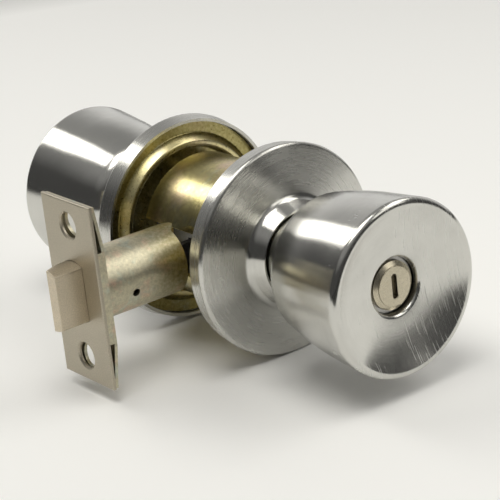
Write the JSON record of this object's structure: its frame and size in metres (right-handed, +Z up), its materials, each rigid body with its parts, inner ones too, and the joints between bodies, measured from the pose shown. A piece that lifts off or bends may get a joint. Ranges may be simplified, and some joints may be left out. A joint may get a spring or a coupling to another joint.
{
  "type": "privacy knob lock",
  "caption": "Round privacy door knob set with spring latch: satin tulip knobs on roses, yellow zinc chassis, coin-slot release outside and push button inside.",
  "frame": {"origin": "where the knob axis crosses the latch axis, in the middle of the door's bore", "axes": "+Y along the knob axis from the outside of the door to the inside, -X towards the door's edge and the latch, +Z up"},
  "size_m": [0.1024, 0.1612, 0.0658],
  "materials": {
    "satin_steel": "satin brushed stainless sheet",
    "yellow_zinc": "yellow chromated zinc plate on steel",
    "matt_nickel": "matt nickel plate",
    "bolt_nickel": "matt nickel plate on a cast bolt",
    "plug_nickel": "warm nickel plate",
    "plain_steel": "plain bright steel",
    "cast_zinc": "bare zinc casting",
    "spring_steel": "spring steel"
  },
  "bodies": {
    "lock_body": {"chassis_housing": "yellow_zinc", "chassis_cover": "yellow_zinc", "outside_hub": "cast_zinc", "inside_hub": "cast_zinc", "outside_rose": "satin_steel", "rose_liner": "yellow_zinc", "inside_rose": "satin_steel", "mounting_plate": "yellow_zinc", "mounting_screws": "yellow_zinc", "faceplate": "matt_nickel", "back_plate": "yellow_zinc", "latch_tube": "yellow_zinc", "tube_bush": "cast_zinc", "latch_spring": "spring_steel", "return_springs": "spring_steel"},
    "outside_knob": {"outside_knob_shell": "satin_steel", "outside_knob_insert": "cast_zinc", "outside_spindle": "plain_steel", "outside_spindle_clip": "spring_steel", "plug_sleeve": "plain_steel"},
    "release_plug": {"release_plug": "plug_nickel", "release_rod": "plain_steel"},
    "inside_knob": {"inside_knob_shell": "satin_steel", "inside_knob_insert": "cast_zinc", "inside_spindle": "plain_steel", "inside_spindle_clip": "spring_steel", "button_bezel": "plug_nickel", "bar_guide": "cast_zinc", "button_spring": "spring_steel", "catch_spring": "spring_steel"},
    "push_button": {"push_button": "satin_steel", "locking_bar": "plain_steel"},
    "knob_catch": {"knob_catch": "plain_steel"},
    "retractor": {"retractor": "cast_zinc"},
    "latch_bolt": {"latch_bolt": "bolt_nickel", "latch_tail": "plain_steel", "tail_pin": "plain_steel"}
  },
  "joints": [
    {"name": "outside_knob_turn", "type": "hinge", "parent": "lock_body", "child": "outside_knob", "pos_m": [0, 0, 0], "axis": [0, 1, 0], "range_deg": [0, 60], "stiffness_Nm_per_rad": 0.08, "springref_deg": -11.46},
    {"name": "inside_knob_turn", "type": "hinge", "parent": "lock_body", "child": "inside_knob", "pos_m": [0, 0, 0], "axis": [0, 1, 0], "range_deg": [0, 60]},
    {"name": "retractor_slide", "type": "slide", "parent": "lock_body", "child": "retractor", "axis": [1, 0, 0], "range_m": [0, 0.00951], "deforming": ["return_springs"]},
    {"name": "latch_bolt_slide", "type": "slide", "parent": "lock_body", "child": "latch_bolt", "axis": [1, 0, 0], "range_m": [0, 0.00951], "deforming": ["latch_spring"]},
    {"name": "release_plug_turn", "type": "hinge", "parent": "outside_knob", "child": "release_plug", "pos_m": [0, -0.0736, 0], "axis": [0, 1, 0], "range_deg": [0, 90]},
    {"name": "push_button_slide", "type": "slide", "parent": "inside_knob", "child": "push_button", "axis": [0, -1, 0], "range_m": [0, 0.005], "stiffness_N_per_m": 400, "springref_m": -0.002, "deforming": ["button_spring"]},
    {"name": "knob_catch_press", "type": "slide", "parent": "inside_knob", "child": "knob_catch", "axis": [0, 0, 1], "range_m": [0, 0.002], "stiffness_N_per_m": 600, "springref_m": -0.001, "deforming": ["catch_spring"]}
  ],
  "couplings": [
    {"joint": "inside_knob_turn", "follows": "outside_knob_turn", "ratio": 1},
    {"joint": "retractor_slide", "follows": "outside_knob_turn", "m_per_rad": 0.0090718},
    {"joint": "latch_bolt_slide", "follows": "outside_knob_turn", "m_per_rad": 0.0090718}
  ]
}
